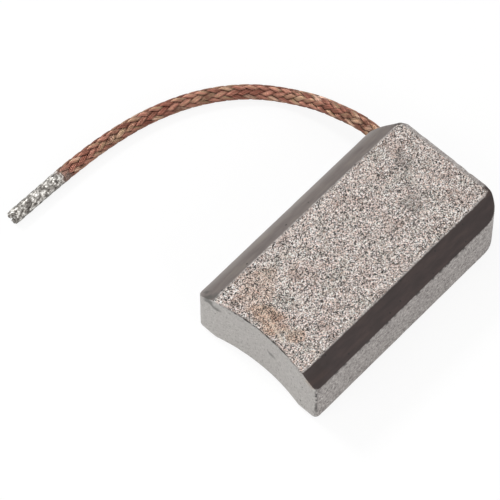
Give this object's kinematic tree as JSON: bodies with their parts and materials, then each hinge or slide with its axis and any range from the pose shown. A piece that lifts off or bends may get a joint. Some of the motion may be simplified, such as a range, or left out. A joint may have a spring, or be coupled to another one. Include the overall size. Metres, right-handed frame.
{
  "type": "carbon brush",
  "caption": "Metal-graphite motor brush block with chamfered edges, a hollow-ground contact end, and a braided copper shunt lead with a tinned tip.",
  "frame": {"origin": "middle of the block's plain wide face, which it lies on", "axes": "+X along the block from the commutator end to the spring end, +Y towards the side that the shunt leaves, +Z through the thickness"},
  "size_m": [0.0409, 0.0485, 0.0098],
  "materials": {
    "metal_graphite": "pressed metal-graphite, dull, with bright and dark grains on the chamfered wide face",
    "copper_braid": "bare copper wire, fine, braided, slightly tarnished",
    "solder": "bright tin-lead solder soaked into the braid"
  },
  "bodies": {
    "root": {"carbon_block": "metal_graphite", "shunt_root": "copper_braid", "shunt_cord": "copper_braid", "tinned_end": "solder"}
  },
  "joints": []
}
